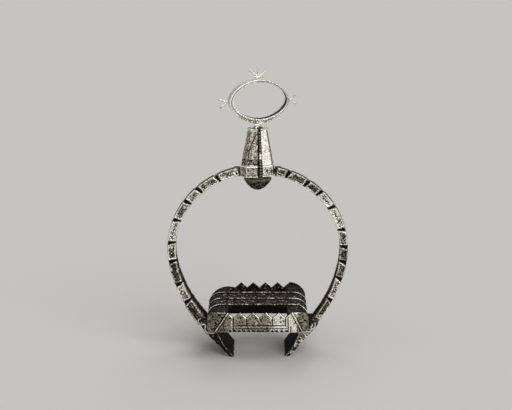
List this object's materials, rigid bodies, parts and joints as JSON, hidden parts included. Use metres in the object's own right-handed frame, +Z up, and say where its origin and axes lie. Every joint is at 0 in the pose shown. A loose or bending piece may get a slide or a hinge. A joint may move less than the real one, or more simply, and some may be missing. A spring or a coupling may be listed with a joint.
{
  "type": "riding stirrup",
  "caption": "Round hoop stirrup with a slotted, toothed tread on two wedge feet and a strap eye that swivels on a pin through a faceted neck.",
  "frame": {"origin": "on the ground, under the middle of the hoop", "axes": "+Z up through the strap eye; +X across the hoop, to the right of a viewer who faces the front crown; +Y through the hoop, away from that viewer"},
  "size_m": [0.1368, 0.075, 0.2196],
  "materials": {
    "bright_iron": "hand-worked iron, chiselled and punched, rubbed bright on the raised faces",
    "worn_iron": "pebbled grey iron with dark recesses and rubbed edges",
    "dark_iron": "dark brown-black oxidised iron"
  },
  "bodies": {
    "frame": {"limb_left": "bright_iron", "limb_right": "bright_iron", "collar": "bright_iron", "neck_sleeve": "bright_iron", "neck_cap": "worn_iron", "bead_strip_front": "worn_iron", "bead_strip_rear": "worn_iron", "foot_left": "worn_iron", "foot_right": "worn_iron", "foot_pin_left": "dark_iron", "foot_pin_right": "dark_iron", "tread_body": "worn_iron", "tread_front_crown": "bright_iron", "tread_rear_crown": "dark_iron", "tread_rivet_left_front": "dark_iron", "tread_rivet_left_rear": "dark_iron", "tread_rivet_right_front": "dark_iron", "tread_rivet_right_rear": "dark_iron"},
    "strap_eye": {"eye_ring": "bright_iron", "swivel_pin": "dark_iron", "swivel_washer": "dark_iron", "dome_head": "dark_iron", "finial_top": "bright_iron", "finial_left": "bright_iron", "finial_right": "bright_iron", "finial_foot": "bright_iron"}
  },
  "joints": [
    {"name": "eye_swivel", "type": "hinge", "parent": "frame", "child": "strap_eye", "pos_m": [0, 0, 0.1417], "axis": [0, 0, 1], "continuous": true}
  ]
}
